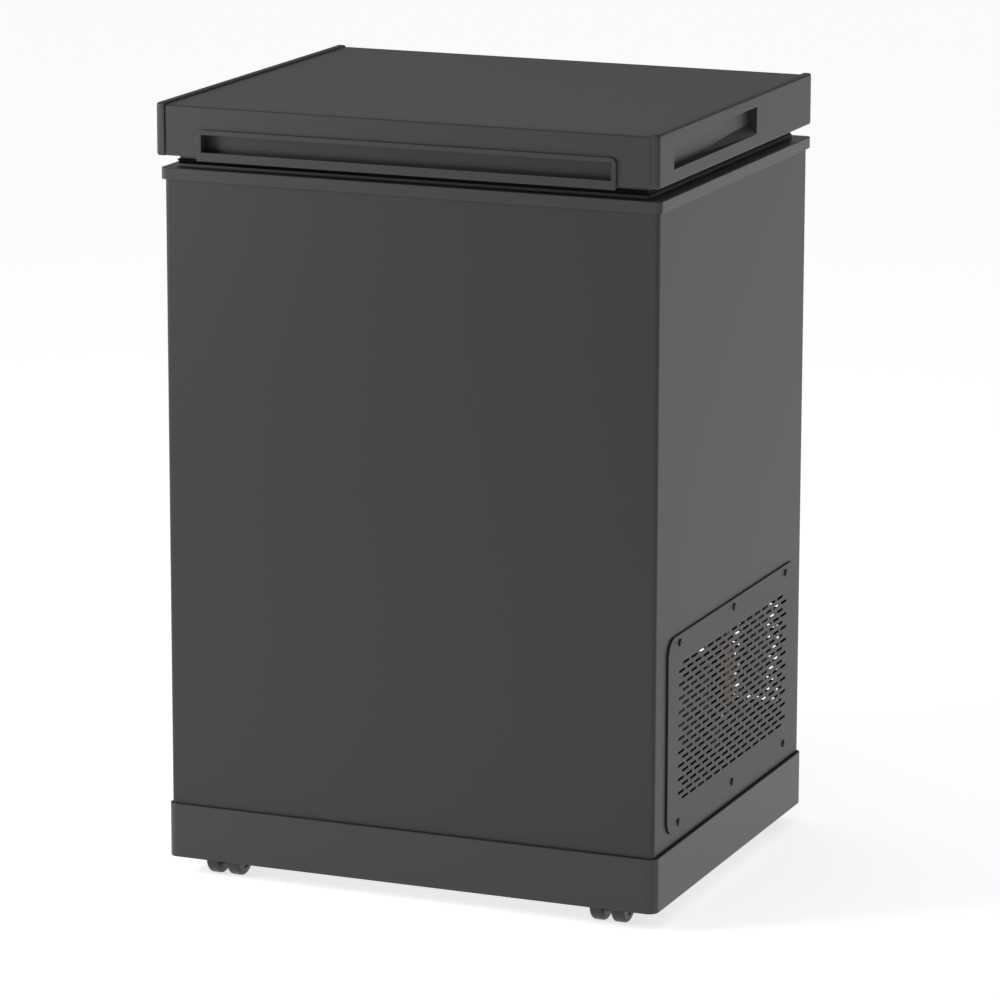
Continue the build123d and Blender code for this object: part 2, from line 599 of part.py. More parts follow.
discharge = pipe(
    [
        (BAY_X + 30, condenser_rear, discharge_z),
        (discharge_x, condenser_rear, discharge_z),
        (discharge_x, stub_end, discharge_z),
    ],
    [BEND],
    TUBE,
)
finish(Compound(children=[suction, discharge]), "refrigerant_tubes")

BAY_OUTER = WRAP_WIDTH / 2 - STEEL  # the nearest the bay's parts may come to the grille
DRIER_RADIUS = 9.0
DRIER_LENGTH = 80.0
DRIER_Z = 216.0
DRIER_Y = GRILLE_Y + 26.0
with BuildPart() as filter_drier:
    with BuildSketch(Plane(origin=(BAY_OUTER - DRIER_RADIUS - 6, DRIER_Y, DRIER_Z), x_dir=(1, 0, 0), z_dir=(0, -1, 0))):
        with BuildLine():
            half = DRIER_LENGTH / 2
            Polyline(
                (0, -half - 14), (2.5, -half - 14), (2.5, -half), (DRIER_RADIUS, -half + 10), (DRIER_RADIUS, half - 10),
                (2.5, half), (2.5, half + 14), (0, half + 14), close=True,
            )
        make_face()
    revolve(axis=Axis((BAY_OUTER - DRIER_RADIUS - 6, DRIER_Y, 0), (0, 0, 1)))
finish(filter_drier.part, "filter_drier")

CAPACITOR_RADIUS = 15.0
CAPACITOR_TALL = 92.0
CAPACITOR_Y = GRILLE_Y + 130.0
capacitor_x = BAY_OUTER - CAPACITOR_RADIUS - 6
with BuildPart() as run_capacitor:
    with Locations((capacitor_x, CAPACITOR_Y, 180)):
        Cylinder(CAPACITOR_RADIUS, CAPACITOR_TALL, align=(Align.CENTER, Align.CENTER, Align.MIN))
    fillet(run_capacitor.edges().filter_by(GeomType.CIRCLE), 2.5)
    with Locations((capacitor_x, CAPACITOR_Y, 180)):
        Cylinder(4, 4, align=(Align.CENTER, Align.CENTER, Align.MAX))
finish(run_capacitor.part, "run_capacitor")

RELAY_SIZE = (40.0, 44.0, 46.0)
RELAY_Y = GRILLE_Y - 146.0
relay_x = BAY_OUTER - RELAY_SIZE[0] / 2 - 6
RELAY_Z = 186.0
with BuildPart() as relay_box:
    with Locations((relay_x, RELAY_Y, RELAY_Z)):
        Box(*RELAY_SIZE, align=(Align.CENTER, Align.CENTER, Align.MIN))
    fillet(relay_box.edges().filter_by(Axis.Z), 4)
finish(relay_box.part, "relay_box")

BRACKET_SHEET = 1.5
BRACKET_WIDE = 24.0
with BuildPart() as bay_brackets:
    for place_x, place_y, shelf_z in (
        (relay_x, RELAY_Y, RELAY_Z),
        (capacitor_x, CAPACITOR_Y, 180 - 4),
        (BAY_OUTER - DRIER_RADIUS - 6, DRIER_Y, DRIER_Z - DRIER_LENGTH / 2 - 14),
    ):
        with BuildSketch(Plane(origin=(0, place_y, 0), x_dir=(1, 0, 0), z_dir=(0, -1, 0))):
            with BuildLine():
                Polyline(
                    (place_x - BRACKET_WIDE / 2, PAN_TOP), (place_x - BRACKET_WIDE / 2, shelf_z),
                    (place_x + 14, shelf_z), (place_x + 14, shelf_z - BRACKET_SHEET),
                    (place_x - BRACKET_WIDE / 2 + BRACKET_SHEET, shelf_z - BRACKET_SHEET),
                    (place_x - BRACKET_WIDE / 2 + BRACKET_SHEET, PAN_TOP + BRACKET_SHEET),
                    (place_x + 8, PAN_TOP + BRACKET_SHEET), (place_x + 8, PAN_TOP), close=True,
                )
            make_face()
        extrude(amount=12, both=True)
finish(bay_brackets.part, "bay_brackets")

# ---------------------------------------------------------------- grille

slot_rows = [(row - (SLOT_ROWS - 1) / 2) * SLOT_ROW for row in range(SLOT_ROWS)]
slot_places = [
    ((column - (count - 1) / 2) * SLOT_PITCH, height)
    for row, height in enumerate(slot_rows)
    for count in [SLOT_COLUMNS - (row + 1) % 2]
    for column in range(count)
]
with BuildPart() as vent_grille:
    with BuildSketch(window.offset(PAD_TALL)):
        RectangleRounded(GRILLE_LENGTH, GRILLE_TALL, GRILLE_RADIUS)
        with Locations(*slot_places):
            SlotOverall(SLOT_LENGTH, SLOT_WIDTH, mode=Mode.SUBTRACT)
        with Locations(*grille_screws_at):
            Circle(M4 + FIT / 2, mode=Mode.SUBTRACT)
    extrude(amount=GRILLE_SHEET)
finish(vent_grille.part, "vent_grille")

grille_face = window.offset(PAD_TALL + GRILLE_SHEET)
cabinet_screw_at = [grille_face * Pos(y, z, 0) for y, z in grille_screws_at]
cabinet_screw_at += [rear_out * Pos(-x, z, 0) for x, z in rear_screw_at]
finish(screw_solids(cabinet_screw_at, SCREW_LENGTH), "cabinet_screws")

# ---------------------------------------------------------------- rear fittings

with BuildPart() as cable_gland:
    with BuildSketch(rear_out.offset(-6)):
        with Locations((-GLAND_X, GLAND_Z)):
            Circle(GLAND_RADIUS)
    extrude(amount=14)
    with BuildSketch(rear_out):
        with Locations((-GLAND_X, GLAND_Z)):
            RegularPolygon(GLAND_RADIUS + 4, 6)
    extrude(amount=5)
    with BuildSketch(rear_out.offset(-6)):
        with Locations((-GLAND_X, GLAND_Z)):
            Circle(4)
    extrude(amount=40, mode=Mode.SUBTRACT)
finish(cable_gland.part, "cable_gland")

DIAL_RADIUS = 15.0
DIAL_TALL = 11.0
BEZEL = 2.0
with BuildPart() as thermostat:
    with BuildSketch(rear_out):
        with Locations((-DIAL_X, DIAL_Z)):
            Circle(DIAL_RADIUS + 5)
            Circle(3 + RUNNING, mode=Mode.SUBTRACT)
    extrude(amount=BEZEL)
    with BuildSketch(rear_out.offset(-STEEL)):
        with Locations((-DIAL_X, DIAL_Z)):
            Circle(DIAL_BUSH)
            Circle(3 + RUNNING, mode=Mode.SUBTRACT)
    extrude(amount=STEEL)
    with BuildSketch(rear_out.offset(-STEEL - 24)):
        with Locations((-DIAL_X, DIAL_Z)):
            RectangleRounded(38, 30, 3)
    extrude(amount=24)
    with BuildSketch(rear_out.offset(-STEEL - 12)):
        with Locations((-DIAL_X, DIAL_Z)):
            Circle(3 + RUNNING)
    extrude(amount=14, mode=Mode.SUBTRACT)
finish(thermostat.part, "thermostat_body")

with BuildPart() as thermostat_dial:
    with BuildSketch(rear_out.offset(BEZEL + FIT)):
        with Locations((-DIAL_X, DIAL_Z)):
            Circle(DIAL_RADIUS)
            with PolarLocations(DIAL_RADIUS + 0.6, 18):
                Circle(1.4, mode=Mode.SUBTRACT)
    extrude(amount=DIAL_TALL)
    fillet(thermostat_dial.faces().sort_by(Axis.Y)[-1].edges(), 0.8)
    with BuildSketch(rear_out.offset(BEZEL + FIT + DIAL_TALL - 1)):
        with Locations((-DIAL_X, DIAL_Z + 0.55 * DIAL_RADIUS)):
            Rectangle(1.6, 0.6 * DIAL_RADIUS)
    extrude(amount=2, mode=Mode.SUBTRACT)
    with BuildSketch(rear_out.offset(-STEEL - 10)):
        with Locations((-DIAL_X, DIAL_Z)):
            Circle(3)
    extrude(amount=STEEL + 10 + BEZEL + FIT)
finish(thermostat_dial.part, "thermostat_dial")

# ---------------------------------------------------------------- basket

BASKET_WIDE = 186.0
BASKET_TALL = 190.0
BASKET_WALL = 2.5
BASKET_GAP = 9.0  # tub wall to basket, front and rear
BASKET_TOP = COLLAR_TOP - 12.0
BASKET_X = TUB_WIDTH / 2 - BASKET_GAP - BASKET_WIDE / 2
HOOK_WIDE = 24.0
HOOK_THICK = 3.0
HOOK_LAP = 9.0  # how far a hook lies on the collar
HOOK_LIFT = 0.4
basket_depth = TUB_DEPTH - 2 * BASKET_GAP
basket_floor = BASKET_TOP - BASKET_TALL
with BuildPart() as basket:
    with BuildSketch(Plane.XY.offset(basket_floor)):
        with Locations((BASKET_X, WRAP_MID)):
            RectangleRounded(BASKET_WIDE, basket_depth, 14)
    extrude(amount=BASKET_TALL)
    with BuildSketch(Plane.XY.offset(basket_floor + BASKET_WALL)):
        with Locations((BASKET_X, WRAP_MID)):
            RectangleRounded(BASKET_WIDE - 2 * BASKET_WALL, basket_depth - 2 * BASKET_WALL, 14 - BASKET_WALL)
    extrude(amount=BASKET_TALL, mode=Mode.SUBTRACT)
    with BuildSketch(Plane(origin=(0, WRAP_MID, basket_floor + BASKET_TALL / 2), z_dir=(0, 1, 0), x_dir=(1, 0, 0))):
        with Locations((BASKET_X, 0)):
            with GridLocations(22, 60, 7, 2):
                RectangleRounded(14, 46, 3)
    extrude(amount=basket_depth, both=True, mode=Mode.SUBTRACT)
    with BuildSketch(Plane(origin=(BASKET_X, WRAP_MID, basket_floor + BASKET_TALL / 2), z_dir=(1, 0, 0),
                           x_dir=(0, 1, 0))):
        with GridLocations(24, 60, 12, 2):
            RectangleRounded(16, 46, 3)
    extrude(amount=BASKET_WIDE, both=True, mode=Mode.SUBTRACT)
    with BuildSketch(Plane.XY.offset(basket_floor - 1)):
        with Locations((BASKET_X, WRAP_MID)):
            with GridLocations(22, 40, 7, 7):
                RectangleRounded(14, 30, 3)
    extrude(amount=3 * BASKET_WALL, mode=Mode.SUBTRACT)
    hook_reach = BASKET_GAP + HOOK_LAP
    for side in (-1, 1):
        wall_y = WRAP_MID + side * basket_depth / 2
        face = Plane(origin=(BASKET_X, wall_y, 0), x_dir=(0, side, 0), z_dir=(side, 0, 0))
        with BuildSketch(face):
            with BuildLine():
                top = COLLAR_TOP + HOOK_LIFT + HOOK_THICK
                Polyline(
                    (-BASKET_WALL, BASKET_TOP - 20), (-BASKET_WALL, top), (hook_reach, top),
                    (hook_reach, top - HOOK_THICK), (HOOK_THICK - BASKET_WALL, top - HOOK_THICK),
                    (HOOK_THICK - BASKET_WALL, BASKET_TOP - 20), close=True,
                )
            make_face()
        extrude(amount=BASKET_WIDE / 2 - HOOK_WIDE / 2, both=True)
    with BuildSketch(Plane.XY.offset(BASKET_TOP)):
        with Locations((BASKET_X, WRAP_MID)):
            Rectangle(BASKET_WIDE - 3 * HOOK_WIDE, 2 * TUB_DEPTH)
    extrude(amount=40, mode=Mode.SUBTRACT)
finish(basket.part, "basket")

# ---------------------------------------------------------------- lid

RAIL_IN = WIDTH / 2 - RAIL_THICK
TRIM_SIDE = 0.8  # groove between a rail and the trims
TRIM_FRONT = LID_FRONT + TRIM_SETBACK
TRIM_BOTTOM = LID_BOTTOM + 0.6
TRIM_RETURN = 6.0
PANEL_FRONT = TRIM_FRONT + TRIM_RETURN + TRIM_GROOVE
PANEL_REAR = LID_REAR - TRIM_THICK - 1
trim_width = 2 * (RAIL_IN - TRIM_SIDE)
CUP_DEEP = 13.0
CUP_WALL = 2.0
PULL_TOP = TRIM_BOTTOM - PULL_DROP + PULL_TALL
pull_mid_z = PULL_TOP - PULL_TALL / 2
PULL_FRONT = MID_Y - DEPTH / 2 - FRONT_PROUD
LID_FOAM_GAP = 0.2


def side_rail(side, label):
    """A side rail with its scooped grip; side is -1 for the left and 1 for the right."""
    with BuildPart() as rail:
        with Locations((side * (RAIL_IN + RAIL_THICK / 2), LID_MID, LID_BOTTOM + RAIL_HEIGHT / 2)):
            Box(RAIL_THICK, LID_DEPTH, RAIL_HEIGHT)
        fillet(rail.edges().filter_by(Axis.X), RAIL_EDGE)
        fillet(rail.faces().sort_by(Axis.X)[-1 if side > 0 else 0].edges(), RAIL_EDGE - 0.6)
        outside = Plane(origin=(side * WIDTH / 2, GRIP_Y, GRIP_Z), x_dir=(0, side, 0), z_dir=(side, 0, 0))
        with BuildSketch(outside.offset(-GRIP_DEEP - GRIP_WALL)):
            RectangleRounded(GRIP_LENGTH + 2 * GRIP_WALL, GRIP_TALL + 2 * GRIP_WALL, 2)
        extrude(amount=GRIP_DEEP + GRIP_WALL - RAIL_THICK / 2)
        with BuildSketch(outside.offset(-GRIP_DEEP)):
            RectangleRounded(GRIP_LENGTH, GRIP_TALL, 1.5)
        extrude(amount=2 * GRIP_DEEP, mode=Mode.SUBTRACT)
    finish(rail.part, label)


side_rail(-1, "lid_rail_left")
side_rail(1, "lid_rail_right")

cup_box = (PULL_WIDTH - 2 * PULL_BORDER + 2 * CUP_WALL, PULL_TALL - PULL_BORDER + CUP_WALL)
with BuildPart() as lid_front_trim:
    with BuildSketch(Plane.YZ.offset(-trim_width / 2)):
        with BuildLine():
            back = TRIM_FRONT + TRIM_THICK
            Polyline(
                (TRIM_FRONT, TRIM_BOTTOM), (TRIM_FRONT, PANEL_TOP), (TRIM_FRONT + TRIM_RETURN, PANEL_TOP),
                (TRIM_FRONT + TRIM_RETURN, PANEL_TOP - TRIM_THICK), (back, PANEL_TOP - TRIM_THICK),
                (back, TRIM_BOTTOM), close=True,
            )
        make_face()
    extrude(amount=trim_width)
    crest = [e for e in lid_front_trim.edges().filter_by(Axis.X) if e.center().Z > PANEL_TOP - 0.1]
    fillet([e for e in crest if e.center().Y < TRIM_FRONT + 0.1], 1.8)
    with Locations((0, TRIM_FRONT, TRIM_BOTTOM)):
        Box(cup_box[0] + FIT, 4 * TRIM_THICK, 2 * (PULL_TOP - PULL_BORDER + CUP_WALL + FIT / 2 - TRIM_BOTTOM),
            mode=Mode.SUBTRACT)
finish(lid_front_trim.part, "lid_front_trim")

with BuildPart() as lid_pull:
    face = Plane(origin=(0, TRIM_FRONT, pull_mid_z), x_dir=(1, 0, 0), z_dir=(0, -1, 0))
    with BuildSketch(face):
        RectangleRounded(PULL_WIDTH, PULL_TALL, 6)
        with Locations((0, -PULL_TALL / 4)):
            Rectangle(PULL_WIDTH, PULL_TALL / 2)
    extrude(amount=TRIM_FRONT - PULL_FRONT)
    fillet(lid_pull.faces().sort_by(Axis.Y)[0].edges(), 0.5)
    with BuildSketch(face.offset(-CUP_DEEP - CUP_WALL)):
        with Locations((0, (TRIM_BOTTOM + PULL_TOP - PULL_BORDER + CUP_WALL) / 2 - pull_mid_z)):
            Rectangle(cup_box[0], PULL_TOP - PULL_BORDER + CUP_WALL - TRIM_BOTTOM)
    extrude(amount=CUP_DEEP + CUP_WALL)
    cavity_low = PULL_TOP - PULL_TALL + PULL_LIP
    with BuildSketch(face.offset(-CUP_DEEP)):
        with Locations((0, (cavity_low + PULL_TOP - PULL_BORDER) / 2 - pull_mid_z)):
            Rectangle(PULL_WIDTH - 2 * PULL_BORDER, PULL_TOP - PULL_BORDER - cavity_low)
    extrude(amount=3 * CUP_DEEP, mode=Mode.SUBTRACT)
    with BuildSketch(face.offset(-CUP_DEEP)):
        with Locations((0, (TRIM_BOTTOM + CUP_WALL + cavity_low) / 2 - pull_mid_z)):
            Rectangle(PULL_WIDTH - 2 * PULL_BORDER, cavity_low - TRIM_BOTTOM - CUP_WALL + 1)
    extrude(amount=CUP_DEEP - CUP_WALL, mode=Mode.SUBTRACT)
finish(lid_pull.part, "lid_pull")

with BuildPart() as lid_top_panel:
    with Locations((0, (PANEL_FRONT + PANEL_REAR) / 2, PANEL_TOP)):
        Box(trim_width, PANEL_REAR - PANEL_FRONT, PANEL_SHEET, align=(Align.CENTER, Align.CENTER, Align.MAX))
finish(lid_top_panel.part, "lid_top_panel")

arm_bolt_z = (LID_BOTTOM + 16.0, LID_BOTTOM + 36.0)
arm_bolt_at = [(side * HINGE_X + dx, z) for side in (-1, 1) for z in arm_bolt_z for dx in (-10, 10)]
lid_rear = Plane(origin=(0, LID_REAR, 0), x_dir=(-1, 0, 0), z_dir=(0, 1, 0))
with BuildPart() as lid_rear_trim:
    with BuildSketch(lid_rear):
        with Locations((0, (TRIM_BOTTOM + PANEL_TOP) / 2)):
            Rectangle(trim_width, PANEL_TOP - TRIM_BOTTOM)
        with Locations(*[(-x, z) for x, z in arm_bolt_at]):
            Circle(M4 + FIT / 2, mode=Mode.SUBTRACT)
    extrude(amount=-TRIM_THICK)
finish(lid_rear_trim.part, "lid_rear_trim")

plug_width = TUB_WIDTH - 2 * PLUG_INSET
plug_depth = TUB_DEPTH - 2 * PLUG_INSET
liner_top = LID_BOTTOM + LID_LINER_SHEET
with BuildPart() as lid_liner:
    with BuildSketch(Plane.XY.offset(LID_BOTTOM)):
        with Locations((0, LID_MID)):
            Rectangle(trim_width, LID_DEPTH - 2 * (TRIM_THICK + TRIM_SETBACK + CUP_DEEP + CUP_WALL))
    extrude(amount=LID_LINER_SHEET)
    with BuildSketch(Plane.XY.offset(LID_BOTTOM - LID_LINER_DROP)):
        with Locations((0, WRAP_MID)):
            RectangleRounded(plug_width, plug_depth, TUB_RADIUS - PLUG_INSET + 6)
    extrude(amount=LID_LINER_DROP)
    fillet(lid_liner.faces().sort_by(Axis.Z)[0].edges(), 6)
    with BuildSketch(Plane.XY.offset(LID_BOTTOM - LID_LINER_DROP + LID_LINER_SHEET)):
        with Locations((0, WRAP_MID)):
            RectangleRounded(plug_width - 14, plug_depth - 14, TUB_RADIUS - PLUG_INSET)
    extrude(amount=LID_LINER_DROP + 2, mode=Mode.SUBTRACT)
finish(lid_liner.part, "lid_liner")

foam_front = TRIM_FRONT + TRIM_THICK + CUP_DEEP + LID_FOAM_GAP
with BuildPart() as lid_foam:
    with BuildSketch(Plane.XY.offset(liner_top)):
        with Locations((0, (foam_front + LID_REAR - TRIM_THICK) / 2)):
            Rectangle(trim_width, LID_REAR - TRIM_THICK - foam_front)
    extrude(amount=PANEL_TOP - PANEL_SHEET - liner_top)
    with BuildSketch(Plane.XY.offset(PANEL_TOP - PANEL_SHEET)):
        with Locations((0, (PANEL_FRONT + foam_front) / 2)):
            Rectangle(trim_width, foam_front - PANEL_FRONT)
    extrude(amount=-(PANEL_TOP - PANEL_SHEET - PULL_TOP))
    with BuildSketch(Plane.XY.offset(LID_BOTTOM - LID_LINER_DROP + LID_LINER_SHEET)):
        with Locations((0, WRAP_MID)):
            RectangleRounded(plug_width - 14, plug_depth - 14, TUB_RADIUS - PLUG_INSET)
    extrude(amount=LID_LINER_DROP)
    with Locations(*[(side * WIDTH / 2, GRIP_Y, GRIP_Z) for side in (-1, 1)]):
        Box(2 * (GRIP_DEEP + GRIP_WALL), GRIP_LENGTH + 2 * GRIP_WALL, GRIP_TALL + 2 * GRIP_WALL, mode=Mode.SUBTRACT)
    with BuildSketch(lid_rear):
        with Locations(*[(-x, z) for x, z in arm_bolt_at]):
            Circle(M4 + FIT / 2)
    extrude(amount=-30, mode=Mode.SUBTRACT)
finish(lid_foam.part, "lid_foam")

# The gasket's ring: a wide head under the liner, a narrower neck and a sole on the collar
gasket_sections = [(0.0, 0.0, 4.6), (3.0, 4.0, 3.4), (1.5, 1.5, GASKET_GAP - GASKET_PRESS - 8.0)]
with BuildPart() as lid_gasket:
    level = COLLAR_TOP + GASKET_PRESS
    for outer_in, inner_in, tall in gasket_sections:
        with BuildSketch(Plane.XY.offset(level)):
            with Locations((0, LID_MID)):
                Rectangle(WIDTH - 2 * (GASKET_INSET + outer_in), LID_DEPTH - 2 * (GASKET_INSET + outer_in))
                Rectangle(
                    WIDTH - 2 * (GASKET_INSET + GASKET_WIDE - inner_in),
                    LID_DEPTH - 2 * (GASKET_INSET + GASKET_WIDE - inner_in),
                    mode=Mode.SUBTRACT,
                )
        extrude(amount=tall)
        level += tall
finish(lid_gasket.part, "lid_gasket")

# ---------------------------------------------------------------- hinges

BASE_Y = PLINTH_REAR + FIT  # front face of a hinge base, clear of the collar
SPACER_Y = WRAP_REAR + STEEL
BASE_BOTTOM = CABINET_TOP - 70.0
BASE_TOP = PIN_Z - EAR_RADIUS
ARM_BOTTOM = LID_BOTTOM + 4.0
ARM_TOP = LID_BOTTOM + 46.0
ARM_GAP = 0.5


def ear(corners, middle_x):
    """A flat ear across X: the hull of its root's corners and a round end about the pin, with the pin's hole."""
    with BuildPart() as flange:
        with BuildSketch(Plane(origin=(middle_x - HINGE_SHEET / 2, 0, 0), x_dir=(0, 1, 0), z_dir=(1, 0, 0))):
            with Locations((PIN_Y, PIN_Z)):
                Circle(EAR_RADIUS)
            with BuildLine():
                Polyline(*corners, close=True)
            make_face()
            make_hull()
            with Locations((PIN_Y, PIN_Z)):
                Circle(PIN_RADIUS + RUNNING, mode=Mode.SUBTRACT)
        extrude(amount=HINGE_SHEET)
    return flange.part


outer_ear = HINGE_WIDE / 2 - HINGE_SHEET / 2
inner_ear = outer_ear - HINGE_SHEET - ARM_GAP
with BuildPart() as hinge_bases:
    for side in (-1, 1):
        middle = side * HINGE_X
        with Locations((middle, BASE_Y, BASE_BOTTOM)):
            Box(HINGE_WIDE, HINGE_SHEET, BASE_TOP - BASE_BOTTOM, align=(Align.CENTER, Align.MIN, Align.MIN))
        with Locations((middle, SPACER_Y, BASE_BOTTOM)):
            Box(HINGE_WIDE, BASE_Y - SPACER_Y, CABINET_TOP - 4 - BASE_BOTTOM,
                align=(Align.CENTER, Align.MIN, Align.MIN))
        for flank in (-1, 1):
            root = [(BASE_Y, BASE_TOP - 40), (BASE_Y + HINGE_SHEET, BASE_TOP - 40), (BASE_Y, BASE_TOP - 4)]
            add(ear(root, middle + flank * outer_ear))
    with BuildSketch(rear_out):
        with Locations(*[(-x, z) for x, z in hinge_bolt_at]):
            Circle(M4 + FIT / 2)
    extrude(amount=40, mode=Mode.SUBTRACT)
finish(hinge_bases.part, "hinge_bases")

with BuildPart() as hinge_arms:
    for side in (-1, 1):
        middle = side * HINGE_X
        with Locations((middle, LID_REAR, ARM_BOTTOM)):
            Box(HINGE_WIDE, HINGE_SHEET, ARM_TOP - ARM_BOTTOM, align=(Align.CENTER, Align.MIN, Align.MIN))
        for flank in (-1, 1):
            root = [(LID_REAR, ARM_BOTTOM), (LID_REAR + HINGE_SHEET, ARM_BOTTOM),
                    (LID_REAR + HINGE_SHEET, ARM_TOP), (LID_REAR, ARM_TOP)]
            add(ear(root, middle + flank * inner_ear))
    with BuildSketch(lid_rear):
        with Locations(*[(-x, z) for x, z in arm_bolt_at]):
            Circle(M4 + FIT / 2)
    extrude(amount=40, mode=Mode.SUBTRACT)
finish(hinge_arms.part, "hinge_arms")

PIN_HEAD = 1.5
with BuildPart() as hinge_pins:
    for side in (-1, 1):
        with BuildSketch(Plane.YZ.offset(side * HINGE_X - HINGE_WIDE / 2 - FIT)):
            with Locations((PIN_Y, PIN_Z)):
                Circle(PIN_RADIUS)
        extrude(amount=HINGE_WIDE + 2 * FIT)
        for start, way in ((-HINGE_WIDE / 2 - FIT, -1), (HINGE_WIDE / 2 + FIT, 1)):
            with BuildSketch(Plane.YZ.offset(side * HINGE_X + start)):
                with Locations((PIN_Y, PIN_Z)):
                    Circle(PIN_RADIUS + 1.8)
            extrude(amount=way * PIN_HEAD)
finish(hinge_pins.part, "hinge_pins")

WIRE = 1.8
COIL_RADIUS = PIN_RADIUS + RUNNING + WIRE / 2 + 0.4
COIL_PITCH = 2.6
coil_length = 2 * (inner_ear - HINGE_SHEET) - 6


def torsion_spring(middle_x):
    """A close coil about the pin, from one inner ear to the other."""
    with BuildPart() as spring:
        with BuildLine() as turns:
            Helix(COIL_PITCH, coil_length, COIL_RADIUS, center=(middle_x - coil_length / 2, PIN_Y, PIN_Z),
                  direction=(1, 0, 0))
        with BuildSketch(Plane(origin=turns.line @ 0, z_dir=turns.line % 0)):
            Circle(WIRE / 2)
        sweep(is_frenet=True)
    return spring.part


finish(Compound(children=[torsion_spring(side * HINGE_X) for side in (-1, 1)]), "hinge_springs")

base_face = Plane(origin=(0, BASE_Y + HINGE_SHEET, 0), x_dir=(-1, 0, 0), z_dir=(0, 1, 0))
arm_face = Plane(origin=(0, LID_REAR + HINGE_SHEET, 0), x_dir=(-1, 0, 0), z_dir=(0, 1, 0))
finish(screw_solids([base_face * Pos(-x, z, 0) for x, z in hinge_bolt_at], 22.0), "hinge_base_screws")
finish(screw_solids([arm_face * Pos(-x, z, 0) for x, z in arm_bolt_at], 18.0), "hinge_arm_screws")

COVER_WALL = 1.6
with BuildPart() as hinge_covers:
    for side in (-1, 1):
        with Locations((side * HINGE_X, BASE_Y + HINGE_SHEET, BASE_BOTTOM - 6)):
            Box(HINGE_WIDE + 8, PLINTH_REAR + REAR_PROUD - BASE_Y - HINGE_SHEET, 50,
                align=(Align.CENTER, Align.MIN, Align.MIN))
    fillet(hinge_covers.faces().filter_by(Axis.Y).sort_by(Axis.Y)[-2:].edges(), 3)
    for side in (-1, 1):
        with Locations((side * HINGE_X, BASE_Y, BASE_BOTTOM - 6 + COVER_WALL)):
            Box(HINGE_WIDE + 8 - 2 * COVER_WALL, PLINTH_REAR + REAR_PROUD - COVER_WALL - BASE_Y, 50,
                align=(Align.CENTER, Align.MIN, Align.MIN), mode=Mode.SUBTRACT)
finish(hinge_covers.part, "hinge_covers")

# ---------------------------------------------------------------- castors

HUB_RADIUS = 11.0
WEB_THICK = WHEEL_PITCH - WHEEL_WIDTH - 0.8
HUB_LOW = WHEEL_DIAMETER + 1.5
HUB_TOP = CASTOR_HEIGHT - PLATE_THICK - 0.4
STEM_END = HUB_LOW + 2.0
WHEEL_EDGE = 3.5
HUB_CAP = 12.0
axle_z = WHEEL_DIAMETER / 2
all_bolts = [(x + dx, y + dy) for x, y in castor_spots.values() for dx, dy in bolt_offsets]

with BuildPart() as castor_plates:
    with BuildSketch(Plane.XY.offset(CASTOR_HEIGHT)):
        with Locations(*castor_spots.values()):
            RectangleRounded(PLATE_SIDE, PLATE_SIDE, 5)
        with Locations(*all_bolts):
            Circle(CASTOR_BOLT + 0.2, mode=Mode.SUBTRACT)
    extrude(amount=-PLATE_THICK)
    with BuildSketch(Plane.XY.offset(CASTOR_HEIGHT - PLATE_THICK)):
        with Locations(*castor_spots.values()):
            Circle(STEM_RADIUS)
    extrude(amount=-(CASTOR_HEIGHT - PLATE_THICK - STEM_END))
finish(castor_plates.part, "castor_plates")

with BuildPart() as castor_bolts:
    with Locations(*[(x, y, CASTOR_HEIGHT - PLATE_THICK) for x, y in all_bolts]):
        Cylinder(CASTOR_BOLT, PLATE_THICK + RAIL_SHEET + 2, align=(Align.CENTER, Align.CENTER, Align.MIN))
        Cylinder(1.9 * CASTOR_BOLT, 1.6, align=(Align.CENTER, Align.CENTER, Align.MAX))
finish(castor_bolts.part, "castor_bolts")


